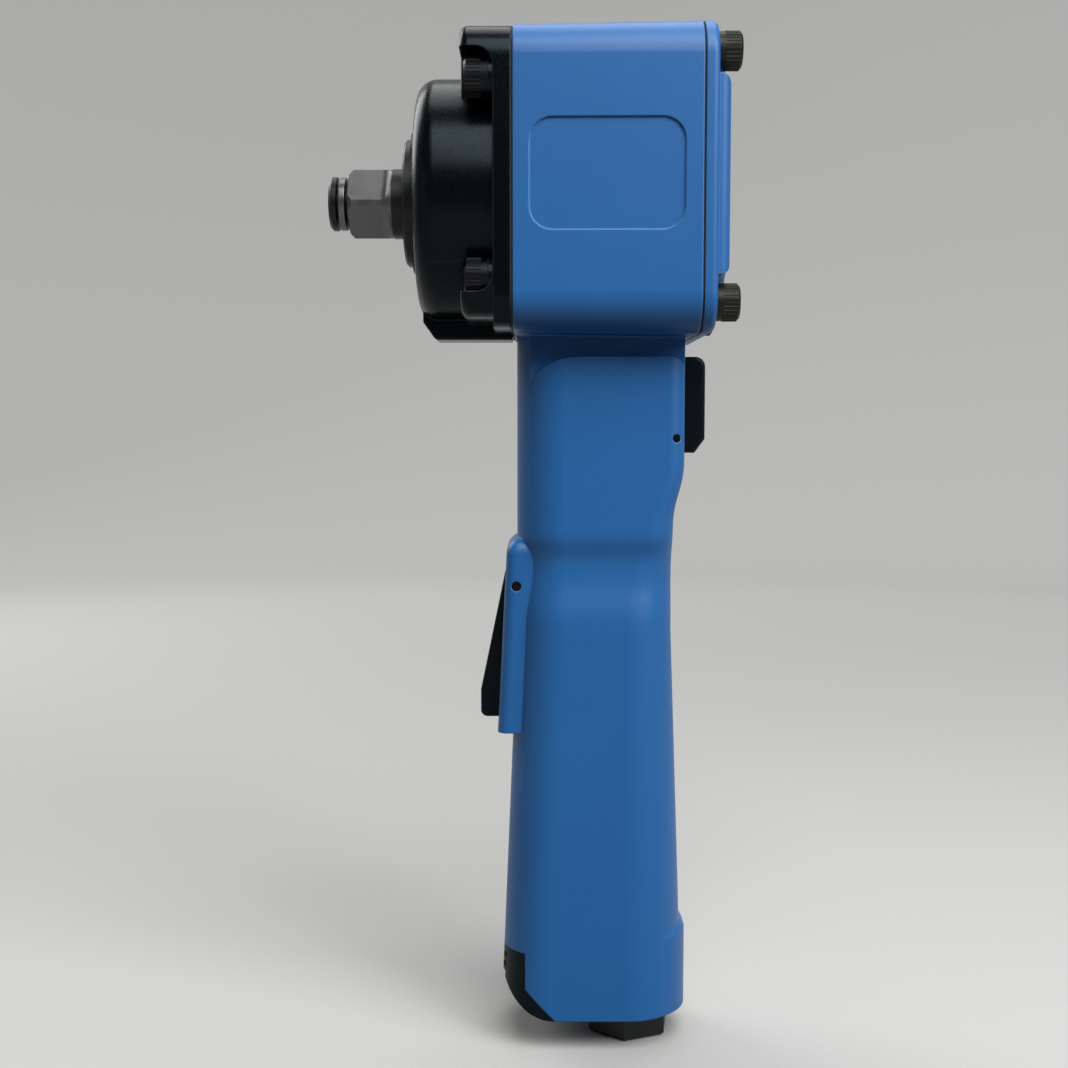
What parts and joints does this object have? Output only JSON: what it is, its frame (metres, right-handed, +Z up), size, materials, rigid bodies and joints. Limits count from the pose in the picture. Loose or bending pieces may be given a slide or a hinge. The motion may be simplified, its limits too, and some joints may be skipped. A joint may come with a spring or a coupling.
{
  "type": "air impact wrench",
  "caption": "Compact air impact wrench: square drive at the nose, boxy motor head on a slim pistol grip with a trigger, a thumb reverse paddle and a hose inlet in the base.",
  "frame": {"origin": "on the anvil's axis, at the shoulder of the square drive where a socket seats", "axes": "-X along the anvil to the drive's tip, +Z up from the base of the handle to the head, Y across the head"},
  "size_m": [0.097, 0.0626, 0.2455],
  "materials": {
    "blue_casting": "satin blue paint on cast aluminium",
    "black_casting": "semi-gloss black coat on cast aluminium",
    "dark_steel": "phosphated steel",
    "bright_steel": "ground steel",
    "black_screw": "black oxide",
    "brown_screw": "aged black oxide",
    "black_plastic": "moulded black plastic",
    "vane_plastic": "laminated phenolic",
    "bronze": "sintered bronze",
    "spring_steel": "drawn wire",
    "black_rubber": "moulded rubber",
    "gasket_paper": "pressed fibre",
    "felt": "grey felt"
  },
  "bodies": {
    "housing": {"motor_housing": "blue_casting", "hammer_case": "black_casting", "rear_cover": "blue_casting", "front_gasket": "gasket_paper", "rear_gasket": "gasket_paper", "hammer_case_screws": "black_screw", "hammer_case_washers": "bright_steel", "rear_cover_screws": "brown_screw", "rear_cover_washers": "brown_screw", "front_bush": "dark_steel", "anvil_seal": "black_rubber", "motor_liner": "bright_steel", "front_end_plate": "bright_steel", "rear_end_plate": "bright_steel", "liner_dowel": "bright_steel", "front_bearing_outer": "bright_steel", "rear_bearing_outer": "bright_steel", "trigger_pin": "bright_steel", "push_pin_bush": "bronze", "throttle_valve_seat": "black_rubber", "throttle_spring": "spring_steel", "inlet_bush": "dark_steel", "inlet_seal": "black_rubber", "inlet_screen": "bronze", "paddle_pin": "bright_steel", "reverse_sleeve": "bronze", "reverse_spring": "spring_steel", "exhaust_deflector": "black_plastic", "muffler": "felt"},
    "rotor": {"rotor": "bright_steel", "rotor_vanes": "vane_plastic", "front_bearing_inner": "bright_steel", "rear_bearing_inner": "bright_steel"},
    "hammer": {"hammer_cage": "bright_steel", "hammer": "bright_steel", "hammer_pins": "bright_steel"},
    "anvil": {"anvil": "dark_steel", "socket_ring": "spring_steel", "socket_ring_oring": "black_rubber", "thrust_washer": "bright_steel"},
    "bearing_balls": {"front_bearing_balls": "bright_steel", "rear_bearing_balls": "bright_steel"},
    "trigger": {"trigger": "black_plastic"},
    "push_pin": {"trigger_push_pin": "bright_steel"},
    "throttle_valve": {"throttle_valve": "bronze"},
    "reverse_paddle": {"reverse_paddle": "black_plastic"},
    "reverse_spool": {"reverse_spool": "bright_steel", "spool_orings": "black_rubber"}
  },
  "joints": [
    {"name": "rotor_spin", "type": "hinge", "parent": "housing", "child": "rotor", "pos_m": [0.0557, 0, 0], "axis": [1, 0, 0], "continuous": true},
    {"name": "hammer_spin", "type": "hinge", "parent": "housing", "child": "hammer", "pos_m": [0.0282, 0, 0], "axis": [1, 0, 0], "continuous": true},
    {"name": "anvil_spin", "type": "hinge", "parent": "housing", "child": "anvil", "pos_m": [0, 0, 0], "axis": [1, 0, 0], "continuous": true},
    {"name": "balls_orbit", "type": "hinge", "parent": "housing", "child": "bearing_balls", "pos_m": [0.0557, 0, 0], "axis": [1, 0, 0], "continuous": true},
    {"name": "trigger_pull", "type": "hinge", "parent": "housing", "child": "trigger", "pos_m": [0.03, 0, -0.0933], "axis": [0, -1, 0], "range_deg": [0, 7.2], "stiffness_Nm_per_rad": 0.6, "springref_deg": -1.72},
    {"name": "push_pin_slide", "type": "slide", "parent": "housing", "child": "push_pin", "axis": [1, 0, 0], "range_m": [0, 0.003]},
    {"name": "valve_tilt", "type": "hinge", "parent": "housing", "child": "throttle_valve", "pos_m": [0.053, 0, -0.136], "axis": [0, 1, 0], "range_deg": [0, 9.1], "deforming": ["throttle_spring"]},
    {"name": "paddle_press", "type": "hinge", "parent": "housing", "child": "reverse_paddle", "pos_m": [0.0683, 0, -0.0574], "axis": [0, -1, 0], "range_deg": [0, 8], "stiffness_Nm_per_rad": 0.5, "springref_deg": -1.72},
    {"name": "spool_slide", "type": "slide", "parent": "housing", "child": "reverse_spool", "axis": [-1, 0, 0], "range_m": [0, 0.0016], "deforming": ["reverse_spring"]}
  ],
  "couplings": [
    {"joint": "hammer_spin", "follows": "rotor_spin", "ratio": 1},
    {"joint": "anvil_spin", "follows": "rotor_spin", "ratio": 1},
    {"joint": "balls_orbit", "follows": "rotor_spin", "ratio": 0.4056},
    {"joint": "push_pin_slide", "follows": "trigger_pull", "m_per_rad": 0.0237},
    {"joint": "valve_tilt", "follows": "trigger_pull", "ratio": 1.25},
    {"joint": "spool_slide", "follows": "paddle_press", "m_per_rad": 0.0112}
  ]
}
